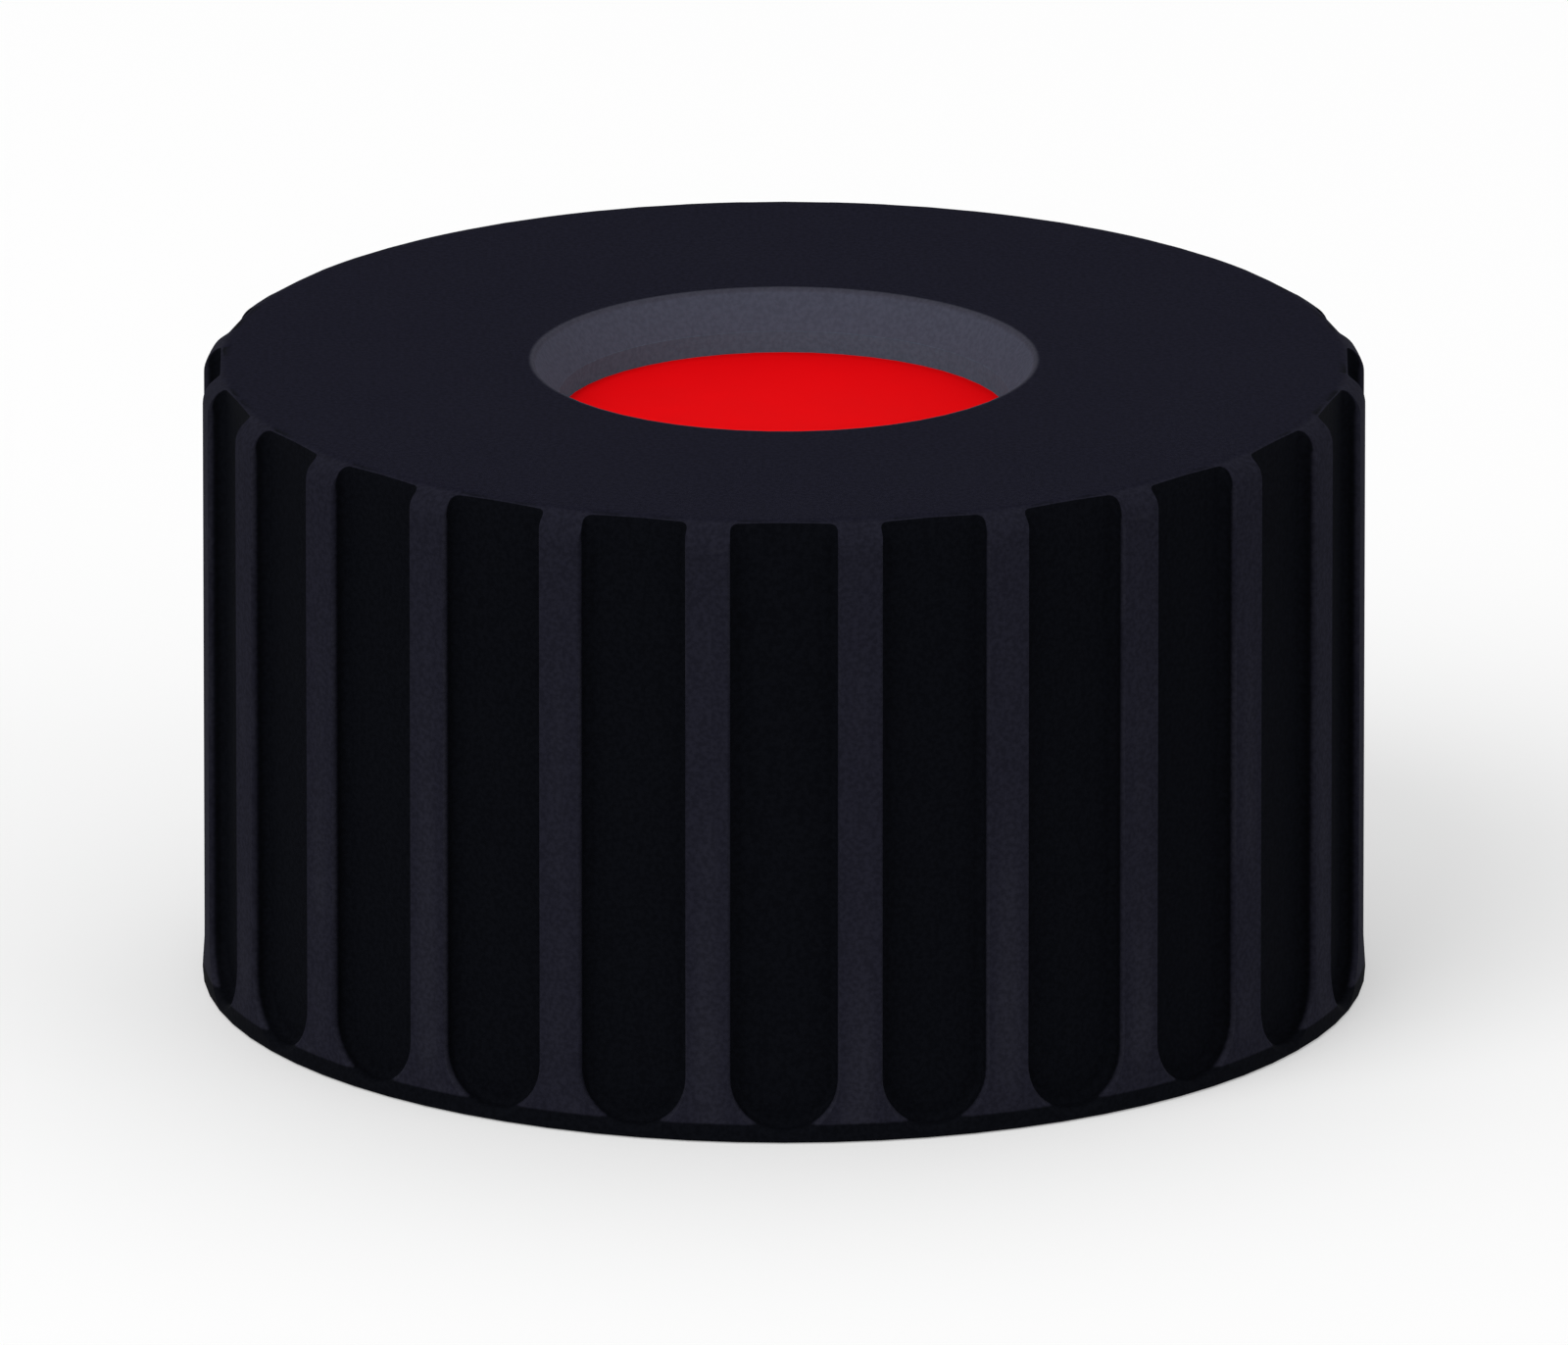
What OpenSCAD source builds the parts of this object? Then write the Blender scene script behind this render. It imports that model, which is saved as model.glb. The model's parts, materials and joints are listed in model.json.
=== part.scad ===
// Open-top screw cap with a septum, for the short thread of a small sample vial.
// The cap is one moulding: a fluted skirt, a lid with a needle hole, a plain
// thread bore, a lead-in at the mouth and a snap bead under the septum's seat.
// The cap stands on its open rim, with +Z up through the needle hole.

/* [Thread bore] */
// Diameter of the bore, at the root of the thread
bore_d = 9.3; // [9.0:0.1:10.5]
// Height of the flared lead-in at the mouth
lead_in_h = 0.35; // [0.1:0.05:0.8]
// How far the lead-in flares out past the bore
lead_in_flare = 0.25; // [0.05:0.05:0.4]

/* [Skirt] */
// Wall from the bore to the crest of the ribs
wall = 1.15; // [0.95:0.05:2.5]
// Height of the cap
cap_h = 6.35; // [5.0:0.05:12.0]
// Radius of the rounded top edge
top_round = 0.3; // [0.1:0.02:0.4]
// Radius of the rounded edge of the open rim
rim_round = 0.03; // [0.02:0.01:0.04]

/* [Flutes] */
// Number of flutes round the skirt
flute_n = 24; // [10:1:25]
// Width of a flute between its side walls
flute_w = 1.06; // [0.6:0.02:1.2]
// Depth of a flute at its middle
flute_depth = 0.2; // [0.14:0.01:0.4]
// Radius in the corners of a flute's floor
flute_corner = 0.08; // [0.03:0.01:0.1]
// Radius of the rounded edges of the ribs
rib_round = 0.06; // [0.03:0.01:0.07]
// Height of the plain band between the flutes and the open rim
base_band = 0.12; // [0.12:0.02:1.0]

/* [Lid] */
// Thickness of the lid over the septum
lid_t = 0.6; // [0.45:0.05:1.2]
// Diameter of the straight part of the needle hole
hole_d = 4.5; // [2.5:0.1:7.0]
// How far the countersink widens the hole's radius at the lid's top
sink_flare = 0.25; // [0.1:0.05:0.8]
// Depth of the countersink
sink_h = 0.38; // [0.1:0.02:0.5]
// Radius of the rounded edge round the countersink
sink_round = 0.05; // [0.02:0.01:0.12]

/* [Septum] */
// Diameter of the septum
septum_d = 9.0; // [8.4:0.1:9.6]
// Thickness of the septum
septum_t = 1.0; // [0.5:0.1:2.0]
// Radius of the septum's rounded edges
septum_round = 0.06; // [0.02:0.01:0.2]
// Gap between the septum's edge and its seat
seat_gap = 0.1; // [0.02:0.01:0.3]

/* [Snap bead] */
// How far the bead reaches in under the septum's edge
bead_grip = 0.14; // [0.05:0.01:0.3]
// Gap between the bead and the septum's underside
bead_gap = 0.04; // [0.01:0.01:0.2]

/* [Hidden] */
$fn = 64;
CAP_COLOUR = "#1c1c25";
SEPTUM_COLOUR = "#dd0a10";

// What a cutter runs past a face that it opens
over = 1;

// A rib's round edge runs out into the skirt at this slope, in degrees, and the
// cutter keeps it up to this height over the skirt, so that the two cross cleanly
run_out = 30;
crossing = 0.004;

bore_r = bore_d / 2;
cap_r = bore_r + wall;
septum_r = septum_d / 2;
seat_r = septum_r + seat_gap;

// Heights of the septum's two faces: its top lies flat against the lid
septum_top = cap_h - lid_t;
septum_base = septum_top - septum_t;

// The bead is a half-round ring on the bore's wall
bead_reach_r = septum_r - bead_grip;
bead_r = max(bore_r, seat_r) - bead_reach_r;
bead_z = septum_base - bead_gap - bead_r;

// A flute's floor is flat, its lower end is half round and its upper end is open
flute_floor = cap_r - flute_depth;
flute_end_z = base_band + flute_w / 2;

// Outer section of the cap from its axis to its wall, both edges rounded
module outer_section() {
    waist = cap_h / 2;
    square([cap_r - rim_round, waist]);
    translate([0, waist]) square([cap_r - top_round, cap_h - waist]);
    translate([0, rim_round]) square([cap_r, cap_h - top_round - rim_round]);
    translate([cap_r - rim_round, rim_round]) circle(r = rim_round);
    translate([cap_r - top_round, cap_h - top_round]) circle(r = top_round);
}

// Section of the needle hole: a straight land, a countersink and a round edge
module hole_section() {
    hole_r = hole_d / 2;
    sink_r = hole_r + sink_flare;
    land_top = cap_h - sink_h;
    // The angle of the lid's corner, between its top and the countersink
    slope = atan2(sink_h, sink_r - hole_r);
    reach = sink_round / tan((180 - slope) / 2);
    arc = [sink_r + reach, cap_h - sink_round];
    touch = [sink_r - reach * cos(slope), cap_h - reach * sin(slope)];
    difference() {
        polygon([
            [0, septum_base],
            [hole_r, septum_base],
            [hole_r, land_top],
            touch,
            [arc.x, cap_h],
            [arc.x, cap_h + over],
            [0, cap_h + over]
        ]);
        translate(arc) circle(r = sink_round);
    }
}

// Section of the inside of the skirt: lead-in, bore and seat, less the bead
module bore_section() {
    difference() {
        union() {
            polygon([
                [0, -over],
                [bore_r + lead_in_flare * (1 + over / lead_in_h), -over],
                [bore_r, lead_in_h],
                [0, lead_in_h]
            ]);
            square([bore_r, bead_z]);
            translate([0, bead_z]) square([seat_r, septum_top - bead_z]);
        }
        translate([max(bore_r, seat_r), bead_z]) circle(r = bead_r);
    }
}

// Half of a flute's plan, right of its middle line, with x across the flute and
// y outwards: a flat floor, a round corner, a side wall and the rib's round edge,
// which ends in a straight slope that clears the skirt at the flute's lower end too
module flute_half() {
    side = flute_w / 2;
    outside = cap_r + over;
    corner = [side - flute_corner, flute_floor + flute_corner];
    slope_x = side + rib_round * (1 - sin(run_out));
    slope_start = [slope_x, sqrt(pow(cap_r + crossing, 2) - slope_x * slope_x)];
    slope_end_y = cap_r + crossing;
    slope_end = [slope_x + (slope_end_y - slope_start.y) / tan(run_out), slope_end_y];
    arc = [side + rib_round, slope_start.y - rib_round * cos(run_out)];
    translate([0, corner.y]) square([side, outside - corner.y]);
    translate([0, flute_floor]) square([corner.x, outside - flute_floor]);
    translate(corner) circle(r = flute_corner);
    difference() {
        polygon([
            arc,
            [side, arc.y],
            [side, outside],
            [slope_end.x, outside],
            slope_end,
            slope_start
        ]);
        translate(arc) circle(r = rib_round);
    }
}

// One flute's cutter on the +Y side: a straight run, and a half-round lower end
// turned from the same plan about a line that points outwards
module flute_cutter() {
    translate([0, 0, flute_end_z]) {
        linear_extrude(cap_h - flute_end_z + over) {
            flute_half();
            mirror([1, 0]) flute_half();
        }
        rotate([-90, 0, 0]) rotate_extrude(angle = 180) flute_half();
    }
}

// The cap, moulded as one piece
module screw_cap() {
    color(CAP_COLOUR)
    difference() {
        rotate_extrude() difference() {
            outer_section();
            hole_section();
            bore_section();
        }
        for (i = [0:flute_n - 1]) rotate(180 + i * 360 / flute_n) flute_cutter();
    }
}

// The septum, a flat disc held between the lid and the bead
module septum() {
    color(SEPTUM_COLOUR)
    rotate_extrude() translate([0, septum_base]) {
        square([septum_r - septum_round, septum_t]);
        translate([0, septum_round]) square([septum_r, septum_t - 2 * septum_round]);
        for (z = [septum_round, septum_t - septum_round])
            translate([septum_r - septum_round, z]) circle(r = septum_round);
    }
}

screw_cap();
septum();
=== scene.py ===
"""Looks of a septum screw cap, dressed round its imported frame.

The cap is one black moulding with a fluted skirt and a countersunk needle hole over a
red septum. Everything is in metres, in the frame's own axes: +Z up, the cap standing
on its open rim, one flute facing -Y.
"""

from __future__ import annotations

import json
import logging
import math
from dataclasses import dataclass
from enum import Enum
from typing import Any

import bpy
import numpy as np
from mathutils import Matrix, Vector

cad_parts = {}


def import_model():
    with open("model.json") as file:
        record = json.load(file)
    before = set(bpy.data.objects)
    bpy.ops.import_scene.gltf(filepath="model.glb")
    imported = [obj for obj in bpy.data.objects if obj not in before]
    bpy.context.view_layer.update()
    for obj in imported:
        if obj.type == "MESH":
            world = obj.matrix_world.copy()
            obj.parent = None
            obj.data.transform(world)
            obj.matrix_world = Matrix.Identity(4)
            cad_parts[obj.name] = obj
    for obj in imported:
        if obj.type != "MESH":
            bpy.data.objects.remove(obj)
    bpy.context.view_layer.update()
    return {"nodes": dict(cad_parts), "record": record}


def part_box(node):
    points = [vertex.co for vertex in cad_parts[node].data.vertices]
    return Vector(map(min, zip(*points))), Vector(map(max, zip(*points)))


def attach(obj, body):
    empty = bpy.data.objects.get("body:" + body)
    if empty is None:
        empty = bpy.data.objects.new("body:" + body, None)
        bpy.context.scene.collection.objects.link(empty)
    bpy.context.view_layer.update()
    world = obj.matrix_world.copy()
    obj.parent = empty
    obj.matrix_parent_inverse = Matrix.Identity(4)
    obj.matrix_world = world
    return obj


LOG = logging.getLogger("septum_cap")
MM = 0.001
Array = np.ndarray
Colour = tuple[float, float, float]

# Noise seldom leaves these tones, so they are stretched where it has to reach 0 and 1.
NOISE_LOW = 0.3
NOISE_HIGH = 0.7

# Sockets of a Mix node that mixes colours.
MIX_FACTOR = 0
MIX_LOW = 6
MIX_HIGH = 7
MIX_RESULT = 2


class Node(Enum):
    """The frame's solids."""

    CAP = "screw_cap"
    SEPTUM = "septum"


class Slot(Enum):
    """The record's material slots."""

    CAP_PLASTIC = "cap_plastic"
    SEPTUM_RED = "septum_red"


class Body(Enum):
    """The frame's bodies: nothing on the cap moves, so there is one."""

    ROOT = "root"


# --------------------------------------------------------------------------
# Shader maths
# --------------------------------------------------------------------------


class Value:
    """A shader socket that takes part in Python expressions."""

    def __init__(self, graph: Graph, socket: bpy.types.NodeSocket | None) -> None:
        """Wraps one output socket.

        Args:
            graph: the graph that the socket belongs to.
            socket: the output to wrap, or None for a node that has none.
        """
        self.graph = graph
        self.socket = socket

    def _maths(self, operation: str, *values: Any) -> Value:
        """One Math node on values, in order."""
        return self.graph.node("ShaderNodeMath", {"operation": operation}, dict(enumerate(values)))

    def __add__(self, other: Any) -> Value:
        """self + other."""
        return self._maths("ADD", self, other)

    __radd__ = __add__

    def __sub__(self, other: Any) -> Value:
        """self - other."""
        return self._maths("SUBTRACT", self, other)

    def __rsub__(self, other: Any) -> Value:
        """other - self."""
        return self._maths("SUBTRACT", other, self)

    def __mul__(self, other: Any) -> Value:
        """self * other."""
        return self._maths("MULTIPLY", self, other)

    __rmul__ = __mul__

    def __pow__(self, other: Any) -> Value:
        """self to the power other."""
        return self._maths("POWER", self, other)

    def capped(self) -> Value:
        """The value, but at most 1."""
        return self._maths("MINIMUM", self, 1.0)

    def atleast(self, least: float) -> Value:
        """The value, but at least the given one."""
        return self._maths("MAXIMUM", self, least)

    def rise(self, low: float, high: float) -> Value:
        """A smooth step: 0 below low, 1 above high, and an S curve between."""
        settings = {"interpolation_type": "SMOOTHSTEP"}
        inputs = {"Value": self, "From Min": low, "From Max": high}
        return self.graph.node("ShaderNodeMapRange", settings, inputs)

    def fall(self, low: float, high: float) -> Value:
        """The reverse of rise: 1 below low and 0 above high."""
        return 1 - self.rise(low, high)

    def spread(self) -> Value:
        """Noise with its usual tones stretched to the full range from 0 to 1."""
        return self.rise(NOISE_LOW, NOISE_HIGH)

    def swing(self) -> Value:
        """Noise that swings evenly about 0, from -0.5 to 0.5."""
        return self - 0.5


class Graph:
    """A material's or a world's node tree, with one method that adds any node."""

    def __init__(self, owner: bpy.types.Material | bpy.types.World) -> None:
        """Clears the owner's tree and takes it over.

        Args:
            owner: the material or world to build.
        """
        owner.use_nodes = True
        self.tree = owner.node_tree
        self.tree.nodes.clear()

    def node(
        self,
        kind: str,
        settings: dict[str, Any] | None = None,
        inputs: dict[int | str, Any] | None = None,
        output: int | str = 0,
    ) -> Value:
        """Adds a node, sets it and feeds it.

        Args:
            kind: the node's type.
            settings: its properties, set before its inputs.
            inputs: a value or a Value for each input, by name or number.
            output: which output to return.

        Returns:
            The chosen output, or an empty Value if the node has no output.
        """
        made = self.tree.nodes.new(kind)
        for name, setting in (settings or {}).items():
            setattr(made, name, setting)
        for key, value in (inputs or {}).items():
            if isinstance(value, Value):
                self.tree.links.new(value.socket, made.inputs[key])
            else:
                made.inputs[key].default_value = value
        return Value(self, made.outputs[output] if made.outputs else None)

    def blend(self, factor: Value | float, low: Value | Colour, high: Value | Colour) -> Value:
        """Mixes two colours.

        Args:
            factor: 0 for the low colour and 1 for the high one.
            low: the first colour.
            high: the second colour.

        Returns:
            The mixed colour.
        """
        ends = [end if isinstance(end, Value) else (*end, 1.0) for end in (low, high)]
        inputs = {MIX_FACTOR: factor, MIX_LOW: ends[0], MIX_HIGH: ends[1]}
        return self.node("ShaderNodeMix", {"data_type": "RGBA"}, inputs, MIX_RESULT)

    def place(self) -> tuple[Value, Value, Value, Value]:
        """The piece's own coordinates.

        Returns:
            The point, then its x, y and z, in metres.
        """
        point = self.node("ShaderNodeTexCoord", output="Object")
        parts = [self.node("ShaderNodeSeparateXYZ", None, {"Vector": point}, n) for n in range(3)]
        return (point, *parts)

    def grain(self, point: Value, size: float, detail: float = 2.0) -> Value:
        """Noise from 0 to 1 with lumps of about the given size in metres."""
        inputs = {"Vector": point, "Scale": 1 / size, "Detail": detail}
        return self.node("ShaderNodeTexNoise", None, inputs)

    def stretch(self, point: Value, scale: tuple[float, float, float]) -> Value:
        """The point with each coordinate scaled: a small scale draws a pattern out along it."""
        return self.node("ShaderNodeVectorMath", {"operation": "MULTIPLY"}, {0: point, 1: scale})

    def tint(self, colour: Value, factor: Value) -> Value:
        """A colour times a plain number."""
        return self.node("ShaderNodeVectorMath", {"operation": "SCALE"}, {0: colour, "Scale": factor})

    def bump(self, relief: Value, height: float, strength: float) -> Value:
        """The normal of a surface on which a relief of 1 stands the given height proud, in metres."""
        inputs = {"Strength": strength, "Distance": height, "Height": relief}
        return self.node("ShaderNodeBump", None, inputs)

    def ray(self, kind: str) -> Value:
        """1 for rays of one kind, such as Is Camera Ray, and 0 for the others."""
        return self.node("ShaderNodeLightPath", output=kind)

    def shown(self) -> Value:
        """1 for rays that see or mirror what they meet, or look through glass to it."""
        kinds = ("Is Camera Ray", "Is Glossy Ray", "Is Transmission Ray")
        camera, glossy, transmission = (self.ray(kind) for kind in kinds)
        return (camera + glossy + transmission).capped()

    def finish(self, shader: Value) -> None:
        """Sends a surface shader to the output."""
        self.node("ShaderNodeOutputMaterial", None, {"Surface": shader})


# --------------------------------------------------------------------------
# Finishes
# --------------------------------------------------------------------------


@dataclass(frozen=True)
class CapSizes:
    """The cap's sizes in metres, read from the frame apart from the top edge's radius.

    Attributes:
        radius: the skirt's outer radius.
        height: the height of the lid's face.
        lid_underside: the height of the lid's underside, where the septum's top lies.
        thread_root: the radius of the bore.
        needle_hole: the radius of the needle hole's straight part.
        top_round: the radius of the round edge between the lid and the skirt.
    """

    radius: float
    height: float
    lid_underside: float
    thread_root: float
    needle_hole: float
    top_round: float = 0.30 * MM

    @classmethod
    def of(cls, record: dict[str, Any]) -> CapSizes:
        """Reads the sizes from the frame.

        Args:
            record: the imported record, with the radius of each round mount in millimetres.

        Returns:
            The cap's sizes.
        """
        radii = {mount["name"]: mount["dims"].get("r_mm", 0) * MM for mount in record["mounts"]}
        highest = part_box(Node.CAP.value)[1]
        return cls(
            radius=highest.y,
            height=highest.z,
            lid_underside=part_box(Node.SEPTUM.value)[1].z,
            thread_root=radii["vial_thread"],
            needle_hole=radii["needle_hole"],
        )


@dataclass(frozen=True)
class MouldedPlastic:
    """Black moulded plastic with a fine matt grain.

    The ribs are a blue black and the lid's face a darker one, painted shade that cancels the stronger
    light from above. The flutes and the band under them are a deeper black, painted shade, and the wall
    of the needle hole is pale, painted light. The ribs' edges are lighter in patches, partly rubbed by
    handling and partly a painted sheen.

    Attributes:
        sizes: the cap's sizes.
        lid: the colour of the lid's face, darker than the ribs' as painted shade that cancels the
            stronger light from above.
        rib: the colour of the ribs, and of all that has no colour of its own.
        edge_wear_and_sheen: the colour of a rib's edge at its lightest, partly rubbed by handling and
            partly a painted sheen.
        flute: the colour of the flutes and the band, a deeper black that is painted shade in the recesses
            and along the bottom edge.
        countersink: the colour of the needle hole's slope, pale as painted light, tinted blue against the
            septum's red light.
        land: the colour of the hole's straight part, under the slope, paler and bluer still as painted
            light against its shadow and the septum's red light.
        hole_rim: the colour of the slope's upper edge, painted light that is dimmer than the slope's.
        recess_start: the depth under the plain outline where the flutes' painted shade starts.
        recess_end: the depth where it is full.
        edge_start: the depth where a rib's round edge takes the most of its lighter colour.
        top_sharpness: how many times more a depth counts at the lid's height.
        band_height: the height of the upper edge of the band of painted shade along the bottom.
        band_fade: how far the band's edge fades to either side.
        lid_fade: how far down the round top edge the lid's painted shade fades out.
        land_fade: the height over which the straight part's painted light turns into the slope's.
        skin: the width of the other fades.
        wall_reach: how far in from the outline the painted shade of the flutes and band goes.
        hole_flare: how far past the hole's straight part the painted light on the wall goes.
        hole_fade: the width over which that painted light fades out there.
        hole_round: how far under the lid's face the rim's painted light starts.
        land_height: the height of the hole's straight part.
        grain_size: the size of the grain's lumps.
        grain_height: the height of the grain.
        grain_strength: how much of the grain's height the light shows.
        cloud_size: the size of the patches along the lighter edges and in gloss.
        streak_size: the width of the faint streaks down the skirt.
        streak_stretch: a streak's width as a share of its length.
        gloss: the strength of the mirrored light.
        lid_roughness: the roughness of the lid's face.
        rib_roughness: the roughness of the rest.
        roughness_swing: how much the roughness changes from patch to patch.
        edge_wear_and_sheen_share: how much the ribs' edges take their lighter colour, from 0 to 1, partly
            rubbing by handling and partly a painted sheen.
        speckle: how much the grain lightens and darkens the colour.
        hole_polish: the share of the speckle that the polished hole lacks.
    """

    sizes: CapSizes
    lid: Colour = (0.0087, 0.0087, 0.0158)
    rib: Colour = (0.0127, 0.0127, 0.0206)
    edge_wear_and_sheen: Colour = (0.0230, 0.0230, 0.0330)
    flute: Colour = (0.0034, 0.0038, 0.0056)
    countersink: Colour = (0.0595, 0.0680, 0.0960)
    land: Colour = (0.0700, 0.1100, 0.1500)
    hole_rim: Colour = (0.0440, 0.0440, 0.0600)
    recess_start: float = 0.03 * MM
    recess_end: float = 0.08 * MM
    edge_start: float = 0.004 * MM
    top_sharpness: float = 4.0
    band_height: float = 0.19 * MM
    band_fade: float = 0.015 * MM
    lid_fade: float = 0.03 * MM
    land_fade: float = 0.004 * MM
    skin: float = 0.02 * MM
    wall_reach: float = 0.60 * MM
    hole_flare: float = 0.30 * MM
    hole_fade: float = 0.05 * MM
    hole_round: float = 0.05 * MM
    land_height: float = 0.22 * MM
    grain_size: float = 0.045 * MM
    grain_height: float = 0.005 * MM
    grain_strength: float = 0.5
    cloud_size: float = 1.4 * MM
    streak_size: float = 0.05 * MM
    streak_stretch: float = 0.03
    gloss: float = 0.010
    lid_roughness: float = 0.94
    rib_roughness: float = 0.80
    roughness_swing: float = 0.10
    edge_wear_and_sheen_share: float = 0.5
    speckle: float = 0.36
    hole_polish: float = 0.5

    def depth(self, radius: Value, z: Value) -> Value:
        """How far a point lies inside the cap's plain outline, whose top edge is round.

        The outline's radius is cap radius - R + sqrt(R^2 - h^2), where R is the edge's
        radius and h the height over the start of the edge, or 0 below it.

        Args:
            radius: the point's distance from the axis.
            z: its height.

        Returns:
            The depth in metres.
        """
        size = self.sizes
        over = (z - (size.height - size.top_round)).atleast(0.0)
        across = (size.top_round**2 - over * over).atleast(0.0) ** 0.5
        return size.radius - size.top_round + across - radius

    def recess(self, radius: Value, z: Value) -> Value:
        """Finds the flutes and the band under them, which take the painted shade.

        Where a flute's floor runs up into the round top edge, its depth fades to nothing,
        so the depth counts for more there.

        Args:
            radius: the point's distance from the axis.
            z: its height.

        Returns:
            1 in the flutes and on the band, and 0 on the lid and the ribs.
        """
        size = self.sizes
        near_top = 1 + self.top_sharpness * z.rise(size.height - size.top_round, size.height)
        sunk = (self.depth(radius, z) * near_top).rise(self.recess_start, self.recess_end)
        sunk = sunk * z.fall(size.height - self.skin, size.height)
        band = z.fall(self.band_height - self.band_fade, self.band_height + self.band_fade)
        inner = size.radius - self.wall_reach
        return (sunk + band).capped() * radius.rise(inner - self.skin, inner)

    def edge(self, radius: Value, z: Value) -> Value:
        """Finds the round edges of the ribs, which handling rubs and which also take a painted sheen.

        Args:
            radius: the point's distance from the axis.
            z: its height.

        Returns:
            1 along the edges and 0 elsewhere.
        """
        depth = self.depth(radius, z)
        outer = depth.rise(0.0, self.edge_start)
        inner = depth.fall(self.edge_start, self.recess_end)
        return outer * inner * z.fall(self.sizes.height - self.sizes.top_round, self.sizes.height)

    def in_hole(self, radius: Value, z: Value) -> Value:
        """Finds the wall of the needle hole, which takes the painted light.

        Args:
            radius: the point's distance from the axis.
            z: its height.

        Returns:
            1 on the wall, fading to 0 just outside its rim.
        """
        rim = self.sizes.needle_hole + self.hole_flare
        floor = self.sizes.lid_underside - self.skin
        return radius.fall(rim - self.hole_fade, rim) * z.rise(floor - self.skin, floor)

    def hole_wall(self, graph: Graph, z: Value) -> Value:
        """Paints light on the hole's wall, from its straight part up the slope to its rim.

        Args:
            graph: the material's nodes.
            z: the point's height.

        Returns:
            The colour.
        """
        land_top = self.sizes.lid_underside + self.land_height
        wall = graph.blend(z.rise(land_top, land_top + self.land_fade), self.land, self.countersink)
        at_rim = z.rise(self.sizes.height - self.hole_round, self.sizes.height)
        return graph.blend(at_rim, wall, self.hole_rim)

    def material(self) -> bpy.types.Material:
        """Builds the finish.

        Returns:
            The material.
        """
        made = bpy.data.materials.new(Slot.CAP_PLASTIC.value)
        graph = Graph(made)
        point, x, y, z = graph.place()
        radius = (x * x + y * y) ** 0.5
        on_lid = z.rise(self.sizes.height - self.lid_fade, self.sizes.height)
        in_hole = self.in_hole(radius, z)
        fine = graph.grain(point, self.grain_size)
        cloud = graph.grain(point, self.cloud_size)
        streak = graph.grain(graph.stretch(point, (1, 1, self.streak_stretch)), self.streak_size)
        # Rib edges lighter in patches: partly rubbed by handling, partly a painted sheen.
        side = graph.blend(self.edge_wear_and_sheen_share * self.edge(radius, z) * cloud.spread(), self.rib, self.edge_wear_and_sheen)
        # Painted shade: the lid's face is darker than the ribs, to cancel the stronger light from above.
        colour = graph.blend(on_lid, side, self.lid)
        # Painted shade: the flutes and the band along the bottom are painted a deeper black.
        colour = graph.blend(self.recess(radius, z), colour, self.flute)
        # Painted light: the needle hole's wall is painted pale, tinted against the septum's red light.
        colour = graph.blend(in_hole, colour, self.hole_wall(graph, z))
        speckle = self.speckle * (1 - self.hole_polish * in_hole) * fine.spread().swing()
        roughness = self.rib_roughness + (self.lid_roughness - self.rib_roughness) * on_lid
        relief = fine + (1 - on_lid) * streak
        shader = graph.node(
            "ShaderNodeBsdfPrincipled",
            None,
            {
                "Base Color": graph.tint(colour, 1 + speckle),
                "Roughness": roughness + self.roughness_swing * cloud.swing(),
                "Specular IOR Level": self.gloss,
                "Normal": graph.bump(relief, self.grain_height, self.grain_strength),
            },
        )
        graph.finish(shader)
        return made


@dataclass(frozen=True)
class SeptumFace:
    """Smooth red rubber sheet with a faint calendered grain.

    Attributes:
        red: the colour of the brighter patches.
        deep_red: the colour of the deeper ones.
        cloud_size: the size of the patches.
        cloud_detail: how much finer noise is added to them.
        grain_size: the size of the grain's lumps.
        grain_height: the height of the grain.
        grain_strength: how much of the grain's height the light shows.
        gloss: the strength of the mirrored light.
        roughness: the roughness.
        roughness_swing: how much the roughness changes from patch to patch.
    """

    red: Colour = (0.80, 0.0018, 0.0040)
    deep_red: Colour = (0.74, 0.0016, 0.0034)
    cloud_size: float = 0.6 * MM
    cloud_detail: float = 3.0
    grain_size: float = 0.05 * MM
    grain_height: float = 0.003 * MM
    grain_strength: float = 0.25
    gloss: float = 0.008
    roughness: float = 0.66
    roughness_swing: float = 0.12

    def material(self) -> bpy.types.Material:
        """Builds the finish.

        Returns:
            The material.
        """
        made = bpy.data.materials.new(Slot.SEPTUM_RED.value)
        graph = Graph(made)
        point, *_ = graph.place()
        cloud = graph.grain(point, self.cloud_size, self.cloud_detail)
        fine = graph.grain(point, self.grain_size)
        shader = graph.node(
            "ShaderNodeBsdfPrincipled",
            None,
            {
                "Base Color": graph.blend(cloud, self.deep_red, self.red),
                "Roughness": self.roughness + self.roughness_swing * cloud.swing(),
                "Specular IOR Level": self.gloss,
                "Normal": graph.bump(fine, self.grain_height, self.grain_strength),
            },
        )
        graph.finish(shader)
        return made


def dress(piece: bpy.types.Object, material: bpy.types.Material) -> None:
    """Gives a piece one material in every slot it has.

    Args:
        piece: the object to dress.
        material: its finish.
    """
    slots = piece.data.materials
    if not slots:
        slots.append(material)
    for n in range(len(slots)):
        slots[n] = material


# --------------------------------------------------------------------------
# Surfaces
# --------------------------------------------------------------------------


def tube(name: str, points: Array) -> bpy.types.Object:
    """Makes a closed tube from a grid of points.

    Rows follow the path and columns go round the section. Each column joins the next
    and the last joins the first; a face closes each end.

    Args:
        name: the piece's name.
        points: rows by columns by 3, in metres.

    Returns:
        The new object, at the origin.
    """
    rows, columns, _ = points.shape
    row, column = np.meshgrid(np.arange(rows - 1), np.arange(columns), indexing="ij")
    after = (column + 1) % columns
    quads = np.stack(
        [
            row * columns + column,
            row * columns + after,
            (row + 1) * columns + after,
            (row + 1) * columns + column,
        ],
        axis=-1,
    ).reshape(-1, 4)
    first = np.arange(columns)[::-1]
    last = (rows - 1) * columns + np.arange(columns)
    mesh = bpy.data.meshes.new(name)
    mesh.from_pydata(points.reshape(-1, 3), [], [*quads.tolist(), first.tolist(), last.tolist()])
    mesh.polygons.foreach_set("use_smooth", np.ones(len(mesh.polygons), bool))
    mesh.update()
    made = bpy.data.objects.new(name, mesh)
    bpy.context.scene.collection.objects.link(made)
    return made


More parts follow.
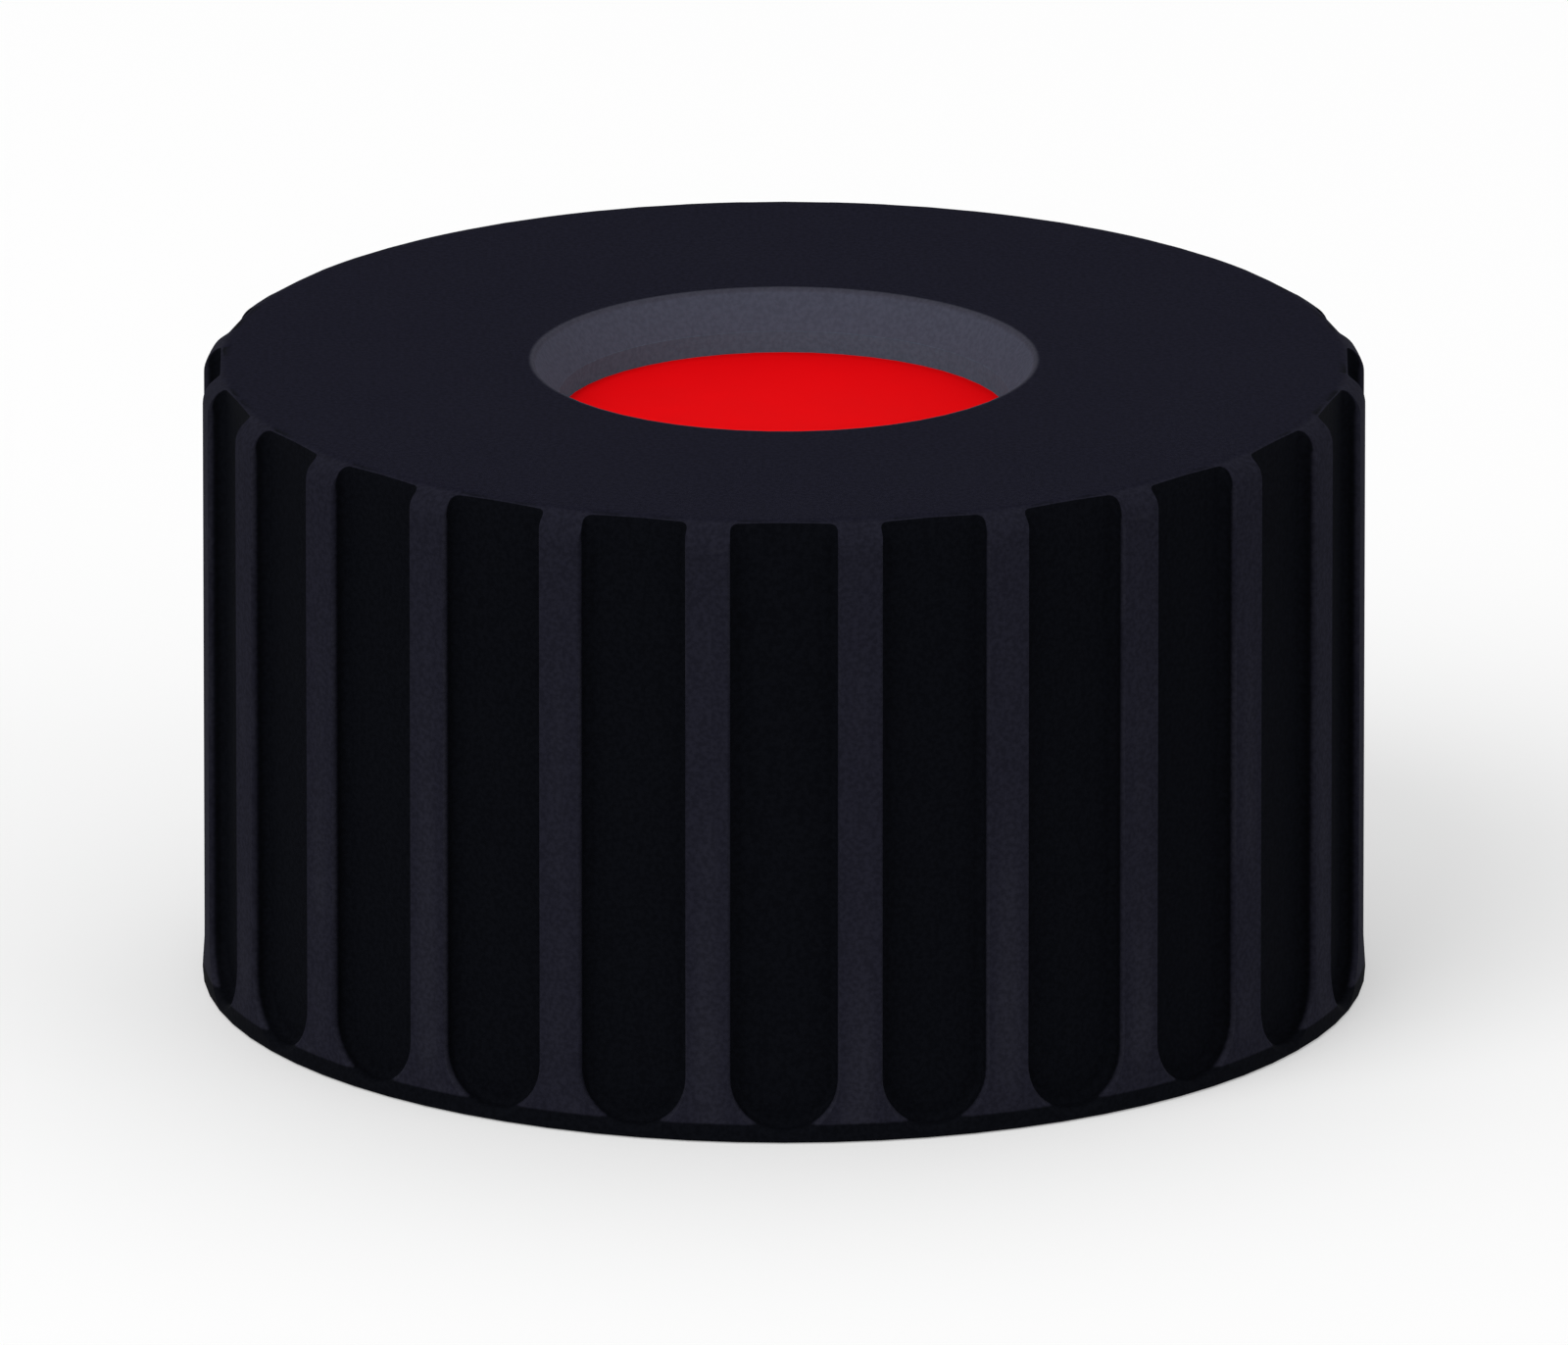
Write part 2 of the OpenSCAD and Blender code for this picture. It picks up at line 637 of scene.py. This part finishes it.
@dataclass
class ThreadRidge:
    """The thread inside the skirt: one right-hand ridge that fades in and out.

    Attributes:
        root_radius: the radius of the bore that it stands on.
        embed: how deep in the wall its flanks start.
        height: how far its crest stands off the bore.
        crest_width: the width of the crest between its corners.
        flank_angle: how far its flanks lean from square.
        half_profile: half of its section, from under the foot to near the crest's middle.
            Each pair is a share of the height and of the way from the foot to the corner.
            The two rise together along the straight flank and part where the corner is round.
        pitch: the climb in one turn.
        turns: its length in turns.
        start_height: the height of its lower end.
        start_angle: the direction of its lower end.
        fade_angle: the turn over which it fades at either end.
        end_width: its width at the very ends, as a share of the full one.
        steps_per_turn: the number of rows in one turn.
    """

    root_radius: float
    embed: float = 0.03 * MM
    height: float = 0.45 * MM
    crest_width: float = 0.24 * MM
    flank_angle: float = math.radians(30)
    half_profile: tuple[tuple[float, float], ...] = (
        (-0.07, -0.07),
        (0.0, 0.0),
        (0.35, 0.35),
        (0.7, 0.7),
        (0.9, 0.93),
        (0.98, 1.1),
        (1.0, 1.45),
    )
    pitch: float = 1.5 * MM
    turns: float = 1.75
    start_height: float = 0.95 * MM
    start_angle: float = math.radians(200)
    fade_angle: float = math.radians(45)
    end_width: float = 0.35
    steps_per_turn: int = 144

    def section(self) -> tuple[Array, Array]:
        """The ridge's section, from its lower foot over the crest to its upper foot.

        Returns:
            The share of the height and the distance along the axis, point by point.
        """
        corner = self.crest_width / 2
        foot = corner + self.height * math.tan(self.flank_angle)
        share, way = np.array(self.half_profile).T
        along = foot + (corner - foot) * way
        return np.concatenate([share, share[::-1]]), np.concatenate([-along, along[::-1]])

    def build(self) -> bpy.types.Object:
        """Sweeps the section along the helix.

        A point at angle a, with height share h and distance d along the axis, is at radius
        root + embed - (height + embed) * h * fade(a). It rises by pitch * a / 2 pi plus d
        times the width there. fade is a smooth step at either end, and the width grows
        with it from end width to 1.

        Returns:
            The ridge.
        """
        share, along = self.section()
        sweep = self.turns * 2 * math.pi
        angle = np.linspace(0, sweep, int(self.turns * self.steps_per_turn) + 1)[:, None]
        ends = np.clip(np.minimum(angle, sweep - angle) / self.fade_angle, 0, 1)
        fade = ends * ends * (3 - 2 * ends)
        width = self.end_width + (1 - self.end_width) * fade
        radius = self.root_radius + self.embed - (self.height + self.embed) * share * fade
        height = self.start_height + self.pitch * angle / (2 * math.pi) + along * width
        turned = self.start_angle + angle * np.ones_like(share)
        points = np.stack([radius * np.cos(turned), radius * np.sin(turned), height], axis=-1)
        return tube("thread_ridge", points)


# --------------------------------------------------------------------------
# Studio
# --------------------------------------------------------------------------


@dataclass(frozen=True)
class Lamp:
    """A soft round lamp that faces the cap.

    Attributes:
        name: the lamp's name.
        azimuth: its direction in degrees, 0 towards -Y and 90 towards +X.
        elevation: the angle in degrees at which it hangs over the level.
        radiance: the light that it sends each way, where 1 is white.
        distance: how far it hangs from the cap, in metres.
        radius: its radius in metres.
    """

    name: str
    azimuth: float
    elevation: float
    radiance: float
    distance: float = 0.60
    radius: float = 0.22

    def back(self) -> Vector:
        """The direction from the cap to the lamp."""
        turn, rise = math.radians(self.azimuth), math.radians(self.elevation)
        return Vector(
            (math.sin(turn) * math.cos(rise), -math.cos(turn) * math.cos(rise), math.sin(rise))
        )

    def share(self) -> float:
        """What the lamp adds to a white surface that faces it: its radiance times its view factor."""
        return self.radiance * self.radius**2 / (self.radius**2 + self.distance**2)

    def build(self, aim: Vector) -> None:
        """Hangs the lamp. Its power is its radiance times pi times its area.

        Args:
            aim: the point that it faces.
        """
        data = bpy.data.lights.new(self.name, "AREA")
        data.shape = "DISK"
        data.size = 2 * self.radius
        data.energy = self.radiance * math.pi * math.pi * self.radius**2
        made = bpy.data.objects.new(self.name, data)
        made.location = aim + self.back() * self.distance
        made.rotation_euler = (-self.back()).to_track_quat("-Z", "Y").to_euler()
        made.visible_camera = False
        bpy.context.scene.collection.objects.link(made)


@dataclass
class Studio:
    """A pale floor, a white surround and soft lamps.

    Attributes:
        floor_size: the floor's width in metres.
        floor_drop: how far the floor lies under the cap's rim.
        floor_tone: the share of the light that the floor sends back.
        world_level: the surround's level as a light, where 1 is white.
        aim_height: the height that the lamps face.
        lamps: the lamps.
    """

    floor_size: float = 8.0
    floor_drop: float = 0.01 * MM
    floor_tone: float = 0.72
    world_level: float = 0.60
    aim_height: float = 3 * MM
    lamps: tuple[Lamp, ...] = (
        Lamp("key", azimuth=-40.0, elevation=46.0, radiance=3.0),
        Lamp("fill", azimuth=55.0, elevation=28.0, radiance=0.8),
        Lamp("back", azimuth=165.0, elevation=60.0, radiance=0.8),
    )

    def light_on_floor(self) -> float:
        """The light on the open floor, as the tone that a white floor would show."""
        return self.world_level + sum(
            lamp.share() * math.sin(math.radians(lamp.elevation)) for lamp in self.lamps
        )

    def floor_material(self) -> bpy.types.Material:
        """Builds the floor's finish.

        The open floor is white wherever it is seen or mirrored: a plain glow makes up for
        what its own tone lacks, and the cap's shadow takes light away only from that tone.
        Light from below passes through it, and so does a look from below.

        Returns:
            The material.
        """
        made = bpy.data.materials.new("floor")
        graph = Graph(made)
        matt = graph.node("ShaderNodeBsdfDiffuse", None, {"Color": (*[self.floor_tone] * 3, 1.0)})
        lacking = graph.shown() * (1 - self.floor_tone * self.light_on_floor())
        glow = graph.node("ShaderNodeEmission", None, {"Strength": lacking})
        seen = graph.node("ShaderNodeAddShader", None, {0: matt, 1: glow})
        clear = graph.node("ShaderNodeBsdfTransparent")
        under = graph.node("ShaderNodeNewGeometry", output="Backfacing")
        opening = (graph.ray("Is Diffuse Ray") + graph.ray("Is Shadow Ray") + under).capped()
        graph.finish(graph.node("ShaderNodeMixShader", None, {0: opening, 1: seen, 2: clear}))
        return made

    def floor(self) -> None:
        """Lays the floor a hair under the rim's face, because two faces in one plane would flicker."""
        half, level = self.floor_size / 2, -self.floor_drop
        corners = [(x, y, level) for x, y in ((-half, -half), (half, -half), (half, half), (-half, half))]
        mesh = bpy.data.meshes.new("floor")
        mesh.from_pydata(corners, [], [(0, 1, 2, 3)])
        made = bpy.data.objects.new("floor", mesh)
        bpy.context.scene.collection.objects.link(made)
        dress(made, self.floor_material())

    def world(self) -> None:
        """A white surround where it is seen or mirrored, at a lower level as a light."""
        made = bpy.data.worlds.new("surround")
        bpy.context.scene.world = made
        graph = Graph(made)
        level = self.world_level + (1 - self.world_level) * graph.shown()
        light = graph.node("ShaderNodeBackground", None, {"Color": (1, 1, 1, 1), "Strength": level})
        graph.node("ShaderNodeOutputWorld", None, {"Surface": light})

    def build(self) -> None:
        """Sets the whole studio up."""
        self.floor()
        self.world()
        for lamp in self.lamps:
            lamp.build(Vector((0, 0, self.aim_height)))


@dataclass
class Viewpoint:
    """The camera: far off, a little above the lid, with the cap in the middle.

    Attributes:
        image_width: the image's width in pixels.
        image_height: its height in pixels.
        elevation: the angle at which the camera looks down.
        distance: how far it is from its aim, in metres.
        pixels_per_metre: the image's scale at the aim.
        target_height: the height of the point that falls on the target row.
        target_row: that row, in pixels from the image's top.
        sensor_width: the sensor's width in millimetres.
        nearest: the nearest thing that it sees, as a share of its distance.
        farthest: the farthest thing that it sees, in metres.
    """

    image_width: int = 1600
    image_height: int = 1372
    elevation: float = math.radians(16.92)
    distance: float = 481.4 * MM
    pixels_per_metre: float = 102.46 / MM
    target_height: float = 3.18 * MM
    target_row: float = 677.3
    sensor_width: float = 36.0
    nearest: float = 0.1
    farthest: float = 10.0

    def build(self) -> None:
        """Places the camera so that the target falls on its row of the image.

        The lens follows from the scale: sensor width * distance / width of the view.
        """
        view_width = self.image_width / self.pixels_per_metre
        data = bpy.data.cameras.new("view")
        data.sensor_width = self.sensor_width
        data.lens = self.sensor_width * self.distance / view_width
        data.clip_start = self.nearest * self.distance
        data.clip_end = self.farthest
        back = Vector((0, -math.cos(self.elevation), math.sin(self.elevation)))
        up = Vector((0, math.sin(self.elevation), math.cos(self.elevation)))
        low = (self.image_height / 2 - self.target_row) / self.pixels_per_metre
        aim = Vector((0, 0, self.target_height)) - up * low
        camera = bpy.data.objects.new("view", data)
        camera.location = aim + back * self.distance
        camera.rotation_euler = (-back).to_track_quat("-Z", "Y").to_euler()
        bpy.context.scene.collection.objects.link(camera)
        bpy.context.scene.camera = camera


# --------------------------------------------------------------------------
# The cap
# --------------------------------------------------------------------------


@dataclass
class SeptumCap:
    """The whole object: the moulding with its thread, and the septum in its seat.

    Attributes:
        nodes: the frame's solids by name.
        sizes: the cap's sizes.
    """

    nodes: dict[str, bpy.types.Object]
    sizes: CapSizes

    def thread(self, plastic: bpy.types.Material) -> bpy.types.Object:
        """Adds the thread's ridge, which is one with the moulding.

        Args:
            plastic: the moulding's finish.

        Returns:
            The ridge.
        """
        ridge = ThreadRidge(self.sizes.thread_root).build()
        dress(ridge, plastic)
        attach(ridge, Body.ROOT.value)
        return ridge

    def build(self) -> tuple[bpy.types.Object, ...]:
        """Dresses the solids and adds the thread.

        Returns:
            The pieces.
        """
        cap, septum = self.nodes[Node.CAP.value], self.nodes[Node.SEPTUM.value]
        plastic = MouldedPlastic(self.sizes).material()
        dress(cap, plastic)
        dress(septum, SeptumFace().material())
        return cap, septum, self.thread(plastic)


def main() -> None:
    """Builds the view, the studio and the cap."""
    logging.basicConfig(level=logging.INFO)
    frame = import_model()
    bpy.context.scene.view_settings.view_transform = "Standard"
    Viewpoint().build()
    Studio().build()
    for piece in SeptumCap(frame["nodes"], CapSizes.of(frame["record"])).build():
        LOG.info("%s: %d faces", piece.name, len(piece.data.polygons))


if __name__ == "__main__":
    main()
